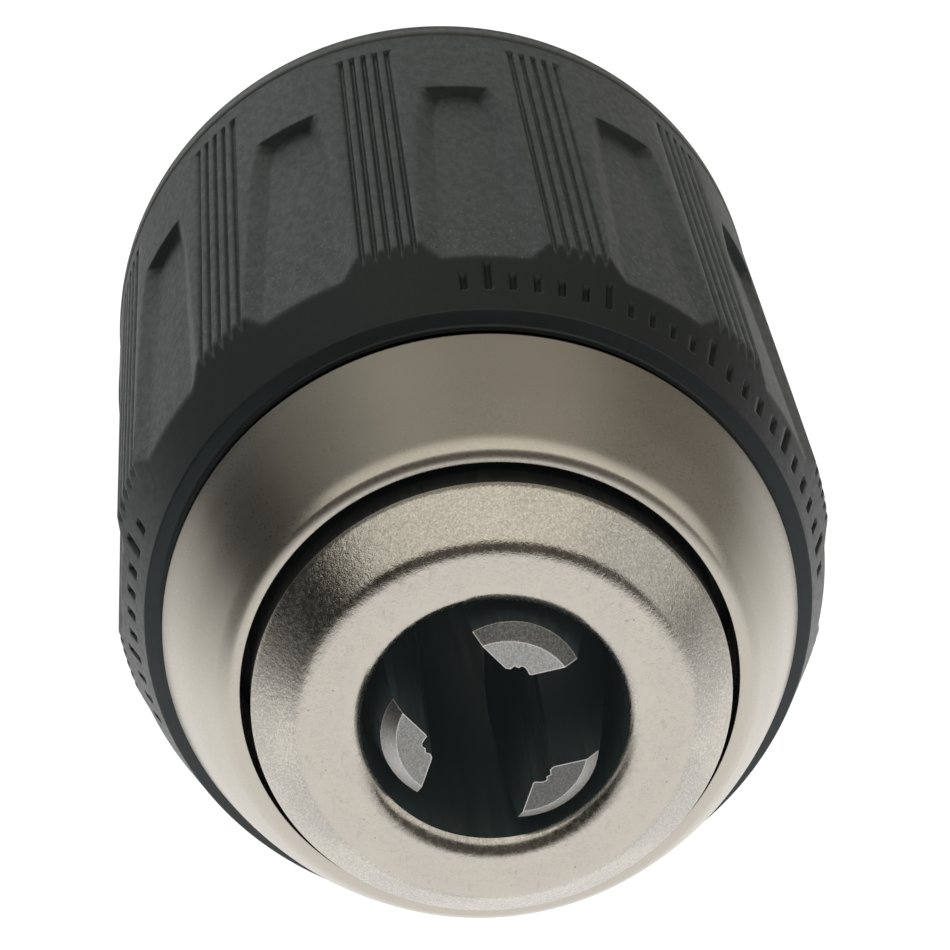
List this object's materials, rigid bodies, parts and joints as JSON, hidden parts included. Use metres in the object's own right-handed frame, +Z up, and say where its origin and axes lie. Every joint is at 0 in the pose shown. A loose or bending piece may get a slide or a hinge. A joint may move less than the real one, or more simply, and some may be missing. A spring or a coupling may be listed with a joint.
{
  "type": "drill chuck",
  "caption": "Keyless drill chuck with a single grip sleeve, three sliding jaws, a split nut on a ball thrust bearing, a ratchet lock and a threaded spindle socket.",
  "frame": {"origin": "centre of the bounding box, which is on the axis of rotation", "axes": "+Y along the axis from the nose to the spindle end, +Z up with the chuck lying on its side"},
  "size_m": [0.043, 0.059, 0.043],
  "materials": {
    "body_steel": "satin, bead-blasted and plated",
    "jaw_steel": "ground",
    "nut_steel": "turned",
    "band_steel": "satin",
    "race_steel": "polished",
    "cage_brass": "satin",
    "ball_steel": "polished",
    "spring_steel": "blued",
    "drive_steel": "satin",
    "grip_plastic": "finely textured",
    "nickel_plate": "satin nickel",
    "clip_steel": "black phosphate",
    "zinc_plate": "satin zinc"
  },
  "bodies": {
    "body": {"chuck_body": "body_steel", "ratchet_race": "race_steel", "retaining_clip": "clip_steel", "rear_cover": "zinc_plate", "rear_circlip": "clip_steel"},
    "nut": {"nut_half_a": "nut_steel", "nut_half_b": "nut_steel", "nut_band": "band_steel", "nut_race": "race_steel"},
    "sleeve": {"grip_sleeve": "grip_plastic", "front_collar": "nickel_plate", "drive_ring": "drive_steel", "lock_cam": "spring_steel"},
    "bearing": {"ball_cage": "cage_brass", "bearing_ball_01": "ball_steel", "bearing_ball_02": "ball_steel", "bearing_ball_03": "ball_steel", "bearing_ball_04": "ball_steel", "bearing_ball_05": "ball_steel", "bearing_ball_06": "ball_steel", "bearing_ball_07": "ball_steel", "bearing_ball_08": "ball_steel", "bearing_ball_09": "ball_steel", "bearing_ball_10": "ball_steel", "bearing_ball_11": "ball_steel", "bearing_ball_12": "ball_steel"},
    "lock_spring": {"lock_spring": "spring_steel"},
    "jaw_1": {"jaw_1": "jaw_steel"},
    "jaw_2": {"jaw_2": "jaw_steel"},
    "jaw_3": {"jaw_3": "jaw_steel"}
  },
  "joints": [
    {"name": "nut_turn", "type": "hinge", "parent": "body", "child": "nut", "pos_m": [0, 0, 0], "axis": [0, 1, 0], "range_deg": [-2295, 2640]},
    {"name": "sleeve_lock", "type": "hinge", "parent": "nut", "child": "sleeve", "pos_m": [0, 0, 0], "axis": [0, 1, 0], "range_deg": [0, 24]},
    {"name": "lock_spring_flex", "type": "hinge", "parent": "nut", "child": "lock_spring", "pos_m": [-0.0123, 0.0043, -0.01273], "axis": [0, 1, 0], "range_deg": [-3.4, 0.1]},
    {"name": "bearing_roll", "type": "hinge", "parent": "body", "child": "bearing", "pos_m": [0, 0, 0], "axis": [0, 1, 0], "range_deg": [-1148, 1321]},
    {"name": "jaw_1_slide", "type": "slide", "parent": "body", "child": "jaw_1", "axis": [-0.0667, -0.9703, -0.2326], "range_m": [-0.0115, 0.01322]},
    {"name": "jaw_2_slide", "type": "slide", "parent": "body", "child": "jaw_2", "axis": [-0.1681, -0.9703, 0.174], "range_m": [-0.0115, 0.01322]},
    {"name": "jaw_3_slide", "type": "slide", "parent": "body", "child": "jaw_3", "axis": [0.2347, -0.9703, 0.0585], "range_m": [-0.0115, 0.01322]}
  ],
  "couplings": [
    {"joint": "lock_spring_flex", "follows": "sleeve_lock", "ratio": -0.14},
    {"joint": "bearing_roll", "follows": "nut_turn", "ratio": 0.5},
    {"joint": "jaw_1_slide", "follows": "nut_turn", "m_per_rad": 0.00028648},
    {"joint": "jaw_2_slide", "follows": "nut_turn", "m_per_rad": 0.00028648},
    {"joint": "jaw_3_slide", "follows": "nut_turn", "m_per_rad": 0.00028648}
  ]
}
